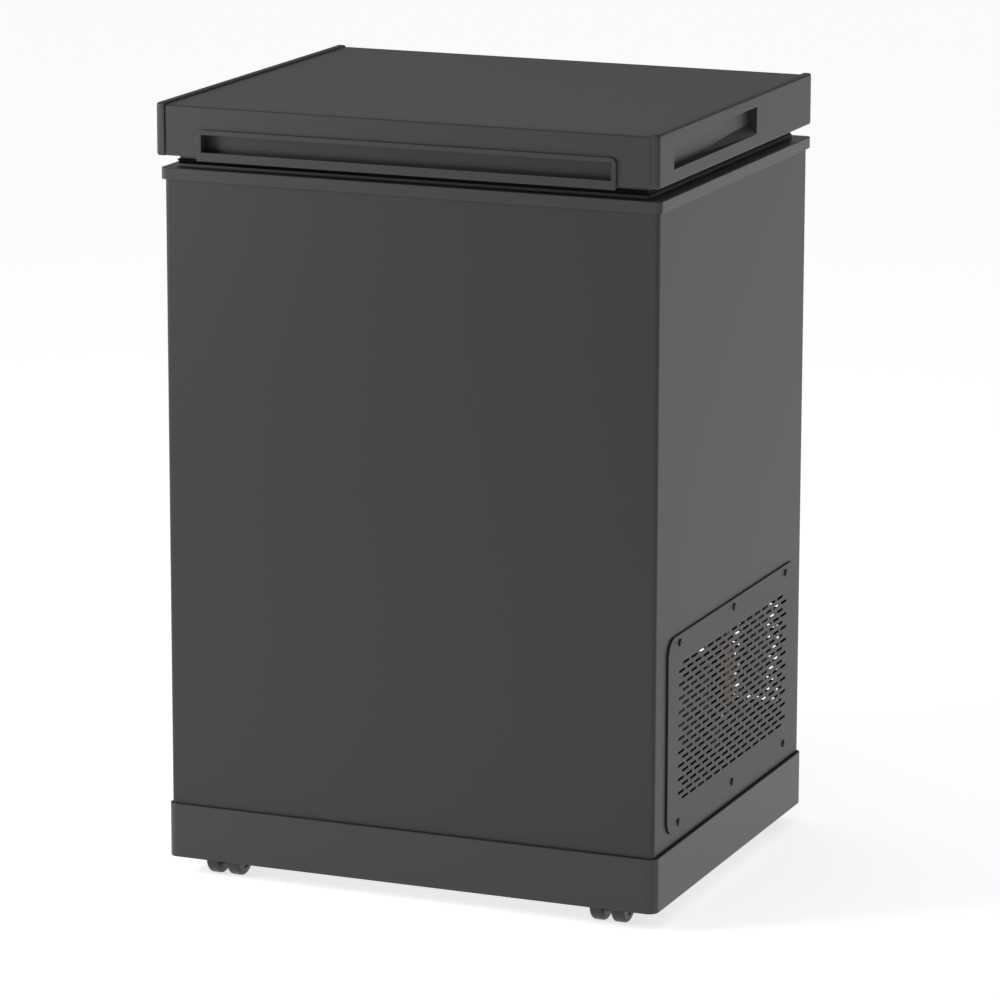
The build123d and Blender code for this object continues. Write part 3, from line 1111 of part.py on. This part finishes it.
def castor(spot, label):
    """One castor's swivel housing, axle and two wheels; the axle lies ahead of the stem by the trail."""
    stem_x, stem_y = spot
    axle_y = stem_y - CASTOR_TRAIL
    across = Plane(origin=(stem_x, 0, 0), x_dir=(0, 1, 0), z_dir=(1, 0, 0))
    with BuildPart() as housing:
        with Locations((stem_x, stem_y, HUB_LOW)):
            Cylinder(HUB_RADIUS, HUB_TOP - HUB_LOW, align=(Align.CENTER, Align.CENTER, Align.MIN))
        with BuildSketch(across):
            with Locations((axle_y, axle_z)):
                Circle(HUB_CAP - 2)
            with BuildLine():
                Polyline(
                    (stem_y + HUB_RADIUS - 1, HUB_LOW + 2), (stem_y - HUB_RADIUS + 1, HUB_LOW + 2),
                    (stem_y - HUB_RADIUS + 1, HUB_LOW - 4), (stem_y + HUB_RADIUS - 1, HUB_LOW - 4), close=True,
                )
            make_face()
            make_hull()
        extrude(amount=WEB_THICK / 2, both=True)
        with Locations((stem_x, stem_y, STEM_END - 0.4)):
            Cylinder(STEM_RADIUS + RUNNING, CASTOR_HEIGHT, align=(Align.CENTER, Align.CENTER, Align.MIN),
                     mode=Mode.SUBTRACT)
        with BuildSketch(across):
            with Locations((axle_y, axle_z)):
                Circle(AXLE_RADIUS)
        extrude(amount=WEB_THICK, both=True, mode=Mode.SUBTRACT)
    finish(housing.part, f"castor_housing_{label}")
    with BuildPart() as axle:
        with BuildSketch(across):
            with Locations((axle_y, axle_z)):
                Circle(AXLE_RADIUS)
        extrude(amount=(WHEEL_PITCH + WHEEL_WIDTH) / 2 - 2, both=True)
    finish(axle.part, f"castor_axle_{label}")
    for side, hand in ((-1, "left"), (1, "right")):
        middle = side * WHEEL_PITCH / 2
        with BuildPart() as wheel:
            with BuildSketch(across.offset(middle)):
                with Locations((axle_y, axle_z)):
                    Circle(WHEEL_DIAMETER / 2)
            extrude(amount=WHEEL_WIDTH / 2, both=True)
            fillet(wheel.edges().filter_by(GeomType.CIRCLE), WHEEL_EDGE)
            with BuildSketch(across.offset(middle + side * WHEEL_WIDTH / 2)):
                with Locations((axle_y, axle_z)):
                    Circle(HUB_CAP)
            extrude(amount=-side * 1.2, mode=Mode.SUBTRACT)
            with BuildSketch(across.offset(middle - side * (WHEEL_WIDTH / 2 + 1))):
                with Locations((axle_y, axle_z)):
                    Circle(AXLE_RADIUS + RUNNING)
            extrude(amount=side * (WHEEL_WIDTH - 0.9), mode=Mode.SUBTRACT)
        finish(wheel.part, f"castor_wheel_{label}_{hand}")


for corner_name, corner_spot in castor_spots.items():
    castor(corner_spot, corner_name)
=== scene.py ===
"""A counter-height chest freezer in charcoal, on a pale floor in soft studio light.

Metres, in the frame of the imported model: the front faces -Y, the vent grille faces +X, +Z is up.
Every new surface is a function of two parameters worked out on a grid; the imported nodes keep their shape.
"""

import json

import bpy
import numpy as np
from mathutils import Matrix, Vector


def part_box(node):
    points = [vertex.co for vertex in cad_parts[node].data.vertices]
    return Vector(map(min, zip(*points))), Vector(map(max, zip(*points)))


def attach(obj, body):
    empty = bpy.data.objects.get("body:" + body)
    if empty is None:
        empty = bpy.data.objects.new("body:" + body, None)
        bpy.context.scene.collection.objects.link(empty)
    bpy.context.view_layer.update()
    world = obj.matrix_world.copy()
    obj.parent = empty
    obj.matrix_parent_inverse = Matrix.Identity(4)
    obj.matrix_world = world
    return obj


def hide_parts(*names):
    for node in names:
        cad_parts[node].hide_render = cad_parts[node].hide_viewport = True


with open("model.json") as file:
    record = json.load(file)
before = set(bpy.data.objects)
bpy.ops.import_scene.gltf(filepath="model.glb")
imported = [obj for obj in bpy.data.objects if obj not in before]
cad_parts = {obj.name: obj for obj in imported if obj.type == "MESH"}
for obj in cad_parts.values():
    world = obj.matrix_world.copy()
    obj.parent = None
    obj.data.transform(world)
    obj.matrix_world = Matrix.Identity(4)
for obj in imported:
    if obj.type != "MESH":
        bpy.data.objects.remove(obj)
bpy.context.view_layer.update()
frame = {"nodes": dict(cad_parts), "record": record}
MM = 0.001
ROOM_LEVEL = 0.28  # brightness of the room as the object sees it
FLOOR_GLOW = 0.70  # the lit sweep under and round the object


# ---------------------------------------------------------------- camera, light and floor

def stand_camera():
    """A long lens a little above the lid, to the right of the front."""
    data = bpy.data.cameras.new("camera")
    data.sensor_width = 36.0
    data.lens = 191.1
    camera = bpy.data.objects.new("camera", data)
    bpy.context.scene.collection.objects.link(camera)
    back = Vector((0.36860, -0.90230, 0.22358)).normalized()
    right = Vector((0.9255, 0.3787, 0.0023))
    right = (right - right.dot(back) * back).normalized()
    up = back.cross(right)
    turn = Matrix((right, up, back)).transposed()
    camera.matrix_world = Matrix.Translation((2.1244, -5.1828, 1.6726)) @ turn.to_4x4()
    bpy.context.scene.camera = camera


def softbox(name, place, target, size, power, tint=(1.0, 1.0, 1.0)):
    """A rectangular area light that faces a point."""
    data = bpy.data.lights.new(name, "AREA")
    data.shape = "RECTANGLE"
    data.size, data.size_y = size
    data.energy = power
    data.color = tint
    light = bpy.data.objects.new(name, data)
    light.location = place
    aim = Vector(target) - Vector(place)
    light.rotation_euler = aim.to_track_quat("-Z", "Y").to_euler()
    bpy.context.scene.collection.objects.link(light)


def light_studio():
    """A dim room behind a white backdrop, softboxes at the front left, at the right and overhead."""
    world = bpy.data.worlds.new("white room")
    world.use_nodes = True
    nodes, links = world.node_tree.nodes, world.node_tree.links
    room = nodes["Background"]
    room.inputs["Color"].default_value = (1.0, 1.0, 1.0, 1.0)
    path = nodes.new("ShaderNodeLightPath")
    level = nodes.new("ShaderNodeMath")
    level.operation = "MULTIPLY_ADD"
    level.inputs[1].default_value = 1.0 - ROOM_LEVEL
    level.inputs[2].default_value = ROOM_LEVEL
    links.new(path.outputs["Is Camera Ray"], level.inputs[0])
    links.new(level.outputs[0], room.inputs["Strength"])
    bpy.context.scene.world = world
    bpy.context.scene.view_settings.view_transform = "Standard"
    softbox("front left", (-1.35, -1.2, 1.05), (-0.28, -0.24, 0.78), (0.7, 1.0), 20.0)
    softbox("right", (1.5, 1.9, 0.75), (0.3, 0.0, 0.45), (0.8, 1.4), 0.2)
    softbox("overhead", (0.0, 0.3, 2.6), (0.0, 0.0, 0.8), (1.8, 1.8), 5.0)


def lay_floor():
    """A pale floor: one flat square reaching far round the object."""
    mesh = bpy.data.meshes.new("floor")
    reach = 30.0
    corners = [(-reach, -reach, 0), (reach, -reach, 0), (reach, reach, 0), (-reach, reach, 0)]
    mesh.from_pydata(corners, [], [(0, 1, 2, 3)])
    floor = bpy.data.objects.new("floor", mesh)
    bpy.context.scene.collection.objects.link(floor)
    paint = bpy.data.materials.new("pale floor")
    paint.use_nodes = True
    shader = paint.node_tree.nodes["Principled BSDF"]
    shader.inputs["Base Color"].default_value = (0.93, 0.93, 0.93, 1.0)
    shader.inputs["Roughness"].default_value = 0.9
    shader.inputs["Specular IOR Level"].default_value = 0.0
    shader.inputs["Emission Color"].default_value = (1.0, 1.0, 1.0, 1.0)
    shader.inputs["Emission Strength"].default_value = FLOOR_GLOW
    mesh.materials.append(paint)


stand_camera()
light_studio()
lay_floor()


# ---------------------------------------------------------------- shared shader effects

def new_group(name, inputs, outputs):
    """An empty shader node group with named float, colour or vector sockets."""
    group = bpy.data.node_groups.new(name, "ShaderNodeTree")
    for label, kind, value in inputs:
        socket = group.interface.new_socket(label, in_out="INPUT", socket_type=f"NodeSocket{kind}")
        if value is not None:
            socket.default_value = value
    for label, kind in outputs:
        group.interface.new_socket(label, in_out="OUTPUT", socket_type=f"NodeSocket{kind}")
    return group, group.nodes.new("NodeGroupInput"), group.nodes.new("NodeGroupOutput")


def surface_grain():
    """Fine grain for paint and plastic: a height from noise at two scales, and a slow drift in tone."""
    group, given, out = new_group(
        "surface grain",
        [("Grain", "Float", 900.0), ("Drift", "Float", 3.0), ("Tone", "Color", (0.06, 0.06, 0.06, 1.0)),
         ("Variation", "Float", 0.06), ("Roughness", "Float", 0.4), ("Rough Variation", "Float", 0.05)],
        [("Color", "Color"), ("Roughness", "Float"), ("Height", "Float")],
    )
    nodes, links = group.nodes, group.links
    place = nodes.new("ShaderNodeTexCoord")
    fine = nodes.new("ShaderNodeTexNoise")
    fine.inputs["Detail"].default_value = 3.0
    slow = nodes.new("ShaderNodeTexNoise")
    slow.inputs["Detail"].default_value = 2.0
    links.new(place.outputs["Object"], fine.inputs["Vector"])
    links.new(place.outputs["Object"], slow.inputs["Vector"])
    links.new(given.outputs["Grain"], fine.inputs["Scale"])
    links.new(given.outputs["Drift"], slow.inputs["Scale"])
    centred = nodes.new("ShaderNodeMath")
    centred.operation = "SUBTRACT"
    centred.inputs[1].default_value = 0.5
    links.new(slow.outputs["Fac"], centred.inputs[0])
    swing = nodes.new("ShaderNodeMath")
    swing.operation = "MULTIPLY_ADD"
    swing.inputs[2].default_value = 1.0
    links.new(centred.outputs[0], swing.inputs[0])
    links.new(given.outputs["Variation"], swing.inputs[1])
    tint = nodes.new("ShaderNodeVectorMath")
    tint.operation = "SCALE"
    links.new(given.outputs["Tone"], tint.inputs[0])
    links.new(swing.outputs[0], tint.inputs["Scale"])
    links.new(tint.outputs[0], out.inputs["Color"])
    rough = nodes.new("ShaderNodeMath")
    rough.operation = "MULTIPLY_ADD"
    fine_centred = nodes.new("ShaderNodeMath")
    fine_centred.operation = "SUBTRACT"
    fine_centred.inputs[1].default_value = 0.5
    links.new(fine.outputs["Fac"], fine_centred.inputs[0])
    links.new(fine_centred.outputs[0], rough.inputs[0])
    links.new(given.outputs["Rough Variation"], rough.inputs[1])
    links.new(given.outputs["Roughness"], rough.inputs[2])
    links.new(rough.outputs[0], out.inputs["Roughness"])
    links.new(fine.outputs["Fac"], out.inputs["Height"])
    return group


def embossing():
    """Stucco embossing of aluminium sheet: rounded cells as a height."""
    group, given, out = new_group("stucco embossing", [("Scale", "Float", 160.0)], [("Height", "Float")])
    place = group.nodes.new("ShaderNodeTexCoord")
    cells = group.nodes.new("ShaderNodeTexVoronoi")
    cells.feature = "SMOOTH_F1"
    group.links.new(place.outputs["Object"], cells.inputs["Vector"])
    group.links.new(given.outputs["Scale"], cells.inputs["Scale"])
    group.links.new(cells.outputs["Distance"], out.inputs["Height"])
    return group


GRAIN = surface_grain()
EMBOSSING = embossing()


def finish_of(name, tone, rough, grain=900.0, bump=0.04, variation=0.05, metal=0.0, coat=0.0, specular=0.5,
              drift=3.0, emboss=None):
    """A material: shared grain drives colour, roughness and bump; numbers sit on the shader's own sockets."""
    material = bpy.data.materials.new(name)
    material.use_nodes = True
    nodes, links = material.node_tree.nodes, material.node_tree.links
    shader = nodes["Principled BSDF"]
    shader.inputs["Metallic"].default_value = metal
    shader.inputs["Specular IOR Level"].default_value = specular
    shader.inputs["Coat Weight"].default_value = coat
    shader.inputs["Coat Roughness"].default_value = 0.25
    effect = nodes.new("ShaderNodeGroup")
    effect.node_tree = GRAIN
    effect.inputs["Grain"].default_value = grain
    effect.inputs["Drift"].default_value = drift
    effect.inputs["Tone"].default_value = (*tone, 1.0)
    effect.inputs["Variation"].default_value = variation
    effect.inputs["Roughness"].default_value = rough
    effect.inputs["Rough Variation"].default_value = 0.12
    links.new(effect.outputs["Color"], shader.inputs["Base Color"])
    links.new(effect.outputs["Roughness"], shader.inputs["Roughness"])
    relief = nodes.new("ShaderNodeBump")
    relief.inputs["Strength"].default_value = 1.0
    relief.inputs["Distance"].default_value = bump * MM
    height = effect.outputs["Height"]
    if emboss:
        stucco = nodes.new("ShaderNodeGroup")
        stucco.node_tree = EMBOSSING
        stucco.inputs["Scale"].default_value = emboss
        height = stucco.outputs["Height"]
    links.new(height, relief.inputs["Height"])
    links.new(relief.outputs["Normal"], shader.inputs["Normal"])
    return material


finishes = {
    "painted_steel": finish_of(
        "charcoal powder coat", (0.038, 0.038, 0.039), 0.36, 1400.0, 0.02, specular=0.24
    ),
    "lid_steel": finish_of("charcoal worktop sheet", (0.074, 0.077, 0.082), 0.5, 1600.0, 0.02),
    "grille_steel": finish_of(
        "charcoal grille coat", (0.038, 0.038, 0.039), 0.38, 1400.0, 0.02, specular=0.24
    ),
    "trim_plastic": finish_of(
        "charcoal moulding", (0.038, 0.038, 0.038), 0.32, 2200.0, 0.03, specular=0.34
    ),
    "rail_plastic": finish_of(
        "warm charcoal moulding", (0.036, 0.036, 0.034), 0.40, 2200.0, 0.04, specular=0.32
    ),
    "gasket_rubber": finish_of("black gasket vinyl", (0.004, 0.004, 0.004), 0.42, 700.0, 0.05),
    "black_rubber": finish_of("black rubber", (0.012, 0.012, 0.012), 0.7, 900.0, 0.08),
    "tub_aluminium": finish_of(
        "embossed aluminium", (0.78, 0.79, 0.80), 0.32, 900.0, 0.25, metal=1.0, emboss=260.0
    ),
    "liner_plastic": finish_of("white liner", (0.80, 0.81, 0.82), 0.28, 500.0, 0.02),
    "foam": finish_of("rigid foam", (0.74, 0.66, 0.42), 0.95, 400.0, 0.4),
    "copper": finish_of(
        "drawn copper", (0.72, 0.36, 0.22), 0.35, 500.0, 0.02, metal=1.0, variation=0.3, drift=30.0
    ),
    "galvanised_steel": finish_of("galvanised sheet", (0.24, 0.245, 0.25), 0.5, 120.0, 0.03, metal=1.0,
                                  variation=0.35, drift=60.0),
    "zinc_steel": finish_of("zinc plate", (0.62, 0.62, 0.60), 0.32, 600.0, 0.02, metal=1.0, variation=0.1),
    "spring_steel": finish_of("oiled spring wire", (0.22, 0.22, 0.23), 0.35, 600.0, 0.02, metal=1.0),
    "hinge_steel": finish_of("black hinge coat", (0.020, 0.020, 0.020), 0.45, 900.0, 0.04),
    "black_screw": finish_of("black oxide", (0.022, 0.022, 0.022), 0.33, 900.0, 0.03, metal=0.6),
    "compressor_paint": finish_of("compressor enamel", (0.008, 0.008, 0.009), 0.3, 300.0, 0.06, coat=0.3),
    "grey_plastic": finish_of("grey moulding", (0.13, 0.125, 0.12), 0.45, 900.0, 0.04),
    "dial_plastic": finish_of("dial moulding", (0.045, 0.045, 0.045), 0.4, 1500.0, 0.03),
    "basket_plastic": finish_of("white basket moulding", (0.78, 0.79, 0.80), 0.4, 900.0, 0.04),
    "castor_nylon": finish_of("black nylon", (0.010, 0.010, 0.010), 0.45, 900.0, 0.04),
    "wheel_nylon": finish_of("black wheel nylon", (0.008, 0.008, 0.008), 0.38, 900.0, 0.03),
}

slot_of = {row["node"]: row["material_slot"] for row in frame["record"]["subparts"]}
for node, solid in frame["nodes"].items():
    paint = finishes[slot_of[node]]
    solid.data.materials.clear()
    solid.data.materials.append(paint)


# ---------------------------------------------------------------- grid surfaces

def piece_from_grid(name, points, paint, body, close_u=False, close_v=False, cap_v=False, angle=0.6):
    """A mesh from a grid of points (u, v, xyz). cap_v closes the first and last rows of v with a face."""
    count_u, count_v = points.shape[:2]
    index = np.arange(count_u * count_v).reshape(count_u, count_v)
    u_next = np.roll(index, -1, axis=0)
    v_next = np.roll(index, -1, axis=1)
    both_next = np.roll(u_next, -1, axis=1)
    quads = np.stack([index, u_next, both_next, v_next], axis=-1)
    quads = quads[: None if close_u else -1, : None if close_v else -1].reshape(-1, 4)
    faces = [tuple(face) for face in quads.tolist()]
    if cap_v:
        faces.append(tuple(index[::-1, -1].tolist())[::-1])
        faces.append(tuple(index[:, 0].tolist())[::-1])
    mesh = bpy.data.meshes.new(name)
    mesh.from_pydata(points.reshape(-1, 3).tolist(), [], faces)
    mesh.materials.append(paint)
    mesh.shade_smooth()
    mesh.set_sharp_from_angle(angle=angle)
    piece = bpy.data.objects.new(name, mesh)
    bpy.context.scene.collection.objects.link(piece)
    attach(piece, body)
    return piece


def smooth(t):
    """0 to 1 with level ends: 3t^2 - 2t^3 on the clipped value."""
    t = np.clip(t, 0.0, 1.0)
    return t * t * (3.0 - 2.0 * t)


def lines_with_rims(low, high, rims, spacing, rim=0.35 * MM):
    """Grid lines from low to high, with a close bundle of lines about each rim to keep its edge crisp."""
    plain = np.linspace(low, high, max(2, int(round((high - low) / spacing)) + 1))
    bundle = np.concatenate([at + rim * np.array([-2.0, -1.0, -0.5, 0.0, 0.5, 1.0, 2.0]) for at in rims])
    far = np.min(np.abs(plain[:, None] - bundle[None, :]), axis=1) > 2.5 * rim
    far[[0, -1]] = True
    return np.unique(np.concatenate([plain[far], bundle]))


# ---------------------------------------------------------------- side rails with their scooped grips

def grip_depth(y, z, y_low, y_high, z_low, z_high, deep):
    """Depth of the scoop: its foot is deep at the front and runs out to nothing at the rear, where the back
    wall ramps up to full depth under the upper rim; the walls turn in over a third of a millimetre."""
    along = np.clip((y - y_low) / (y_high - y_low), 0.0, 1.0)
    up = np.clip((z - z_low) / (z_high - z_low), 0.0, 1.0)
    foot = deep * (1.0 - along) ** 1.25
    floor = foot + (deep - foot) * np.sin(0.5 * np.pi * np.clip(up / 0.92, 0.0, 1.0)) ** 1.3
    rim = 0.35 * MM
    inside = smooth((y - y_low) / rim * 0.5 + 0.5) * smooth((y_high - y) / rim * 0.5 + 0.5)
    inside *= smooth((z - z_low) / rim * 0.5 + 0.5) * smooth((z_high - z) / rim * 0.5 + 0.5)
    return floor * inside


def side_rail(side, node, name):
    """A rail: a section round its inner face, rounded edges and outer face, carried from front to rear. The
    section draws in over the rounded ends, and the outer face sinks into the grip."""
    low, high = (np.array(corner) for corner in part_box(node))
    outer = high[0] if side > 0 else -low[0]
    thick = 9.0 * MM
    inner = outer - thick
    edge = 2.6 * MM
    grip = np.array([-204.0, 45.0, 798.8, 827.2]) * MM
    grip_deep = 19.0 * MM
    turn = np.linspace(0.0, 0.5 * np.pi, 7)
    face_z = lines_with_rims(low[2] + edge, high[2] - edge, grip[2:], 1.2 * MM)
    bottom = np.stack([outer - edge + edge * np.sin(turn), low[2] + edge - edge * np.cos(turn)], axis=-1)[:-1]
    top = np.stack([outer - edge + edge * np.cos(turn), high[2] - edge + edge * np.sin(turn)], axis=-1)[1:]
    face = np.stack([np.full_like(face_z, outer), face_z], axis=-1)
    crown = 1.0 * MM
    back = np.array([[inner + crown, high[2]], [inner + 0.3 * crown, high[2] - 0.3 * crown],
                     [inner, high[2] - crown], [inner, low[2] + crown], [inner + crown, low[2]]])
    section = np.concatenate([bottom, face, top, back])
    end_turn = np.linspace(0.0, 0.5 * np.pi, 7)
    ends = edge * (1.0 - np.cos(end_turn))
    body_y = lines_with_rims(low[1] + edge, high[1] - edge, grip[:2], 5.0 * MM)
    rows_y = np.concatenate([low[1] + ends[:-1], body_y, high[1] - ends[:-1][::-1]])
    draw_in = np.concatenate([edge * (1.0 - np.sin(end_turn))[:-1], np.zeros(len(body_y)),
                              edge * (1.0 - np.sin(end_turn))[:-1][::-1]])
    x = np.repeat(section[:, 0][:, None], len(rows_y), axis=1)
    z = np.repeat(section[:, 1][:, None], len(rows_y), axis=1)
    y = np.repeat(rows_y[None, :], len(section), axis=0)
    middle_z = 0.5 * (low[2] + high[2])
    half = 0.5 * (high[2] - low[2])
    x = np.where(x > inner + 0.5 * thick, x - draw_in[None, :], x)
    z = middle_z + (z - middle_z) * (half - draw_in[None, :]) / half
    on_face = np.zeros(len(section), dtype=bool)
    on_face[len(bottom): len(bottom) + len(face)] = True
    x = x - on_face[:, None] * grip_depth(y, z, *grip, grip_deep)
    points = np.stack([side * x, y, z], axis=-1)
    if side < 0:
        points = points[::-1]
    piece = piece_from_grid(name, points, finishes["rail_plastic"], "lid", close_u=True, cap_v=True)
    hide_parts(node)
    return piece


side_rail(-1, "lid_rail_left", "rail_left")
side_rail(1, "lid_rail_right", "rail_right")


# ---------------------------------------------------------------- gasket

def rounded_loop(half_x, half_y, middle, radius, arc=8):
    """Points round a rectangle with rounded corners, and each point's outward direction."""
    turn = np.linspace(0.0, 0.5 * np.pi, arc)
    centres = np.array([[1, 1], [-1, 1], [-1, -1], [1, -1]]) * (np.array([half_x, half_y]) - radius)
    angles = turn[None, :] + 0.5 * np.pi * np.arange(4)[:, None]
    out = np.stack([np.cos(angles), np.sin(angles)], axis=-1)
    points = centres[:, None, :] + radius * out
    return points.reshape(-1, 2) + np.array(middle), out.reshape(-1, 2)


def gasket():
    """The lid's seal: a section of sole, folded bellows and head, carried round a rounded rectangle."""
    low, high = (np.array(corner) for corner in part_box("lid_gasket"))
    middle = 0.5 * (low + high)[:2]
    half = 0.5 * (high - low)[:2]
    tall = high[2] - low[2]
    outside = np.array([
        [-0.2, 0.0], [0.0, 0.05], [0.3, 0.16], [0.0, 0.27], [-1.6, 0.34], [-2.6, 0.42], [-1.0, 0.5],
        [-0.4, 0.56], [-1.0, 0.62], [-3.0, 0.68], [-3.2, 0.78], [-2.4, 0.88], [-2.2, 1.0],
    ])
    inside = np.array([
        [-15.0, 1.0], [-15.0, 0.84], [-13.0, 0.7], [-14.5, 0.55], [-13.0, 0.4], [-16.0, 0.26],
        [-16.6, 0.1], [-16.4, 0.0],
    ])
    section = np.concatenate([outside, inside])
    half = half - 0.3 * MM
    loop, out = rounded_loop(half[0], half[1], middle, 4.0 * MM)
    reach = section[:, 0] * MM
    height = low[2] + section[:, 1] * tall
    # Inside the corner radius the section keeps its distance from the sides, so corners stay mitred.
    straight = np.sign(out) * np.maximum(np.abs(out), 1e-9)
    most = half + reach[None, :, None].repeat(2, axis=2)
    mitre = np.clip(np.abs(loop - middle)[:, None, :], None, most)
    flat = middle + np.sign(straight)[:, None, :] * mitre
    heights = np.broadcast_to(height[None, :, None], (len(loop), len(section), 1))
    points = np.concatenate([flat, heights], axis=-1)
    piece = piece_from_grid(
        "seal", points, finishes["gasket_rubber"], "lid", close_u=True, close_v=True, angle=0.9
    )
    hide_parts("lid_gasket")


gasket()
